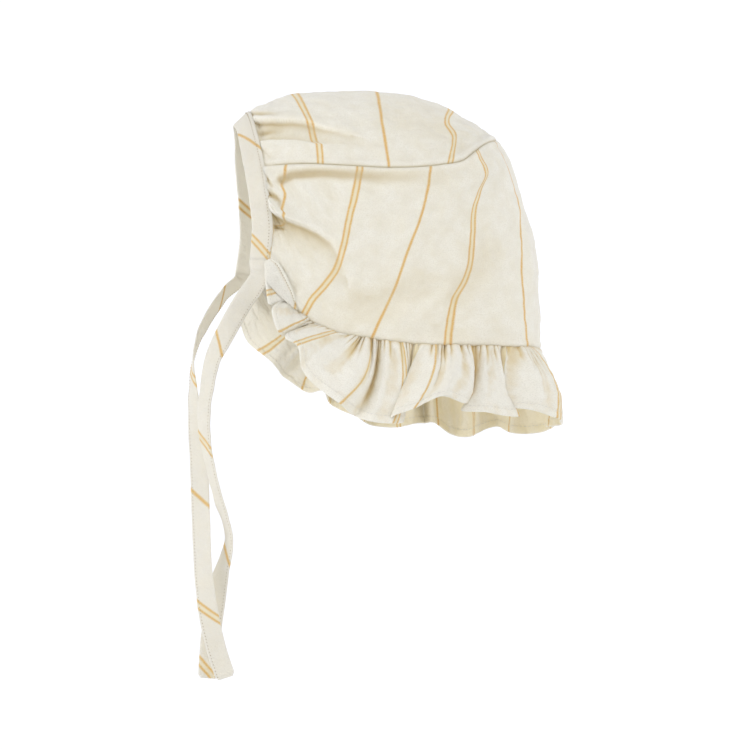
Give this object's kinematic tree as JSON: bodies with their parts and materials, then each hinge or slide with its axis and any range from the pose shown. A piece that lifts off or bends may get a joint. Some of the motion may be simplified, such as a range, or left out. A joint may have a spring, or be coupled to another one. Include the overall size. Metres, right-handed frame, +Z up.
{
  "type": "baby bonnet",
  "caption": "Baby's striped cotton bonnet with a crown tongue, wrap-round side and back cloth, gathered neck ruffle, bias face binding and hanging tape ties, in its worn form.",
  "frame": {"origin": "inside of the crown where the top of the head touches it, on the middle plane", "axes": "+Z up with the head upright, -X the way the face looks, -Y the wearer's left"},
  "size_m": [0.2167, 0.1524, 0.343],
  "materials": {
    "cotton_cloth": "matt plain weave, cream with fine golden stripes",
    "ruffle_cloth": "the same cream striped cotton, gathered, stripes from seam to hem",
    "bias_tape": "the same cotton cut on the bias and folded, slanting stripes, stitched edge"
  },
  "bodies": {
    "root": {"crown_panel": "cotton_cloth", "side_back_panel": "cotton_cloth", "neck_ruffle": "ruffle_cloth", "face_binding": "bias_tape", "tie_left": "bias_tape", "tie_right": "bias_tape", "corner_facing_left": "cotton_cloth", "corner_facing_right": "cotton_cloth"}
  },
  "joints": []
}
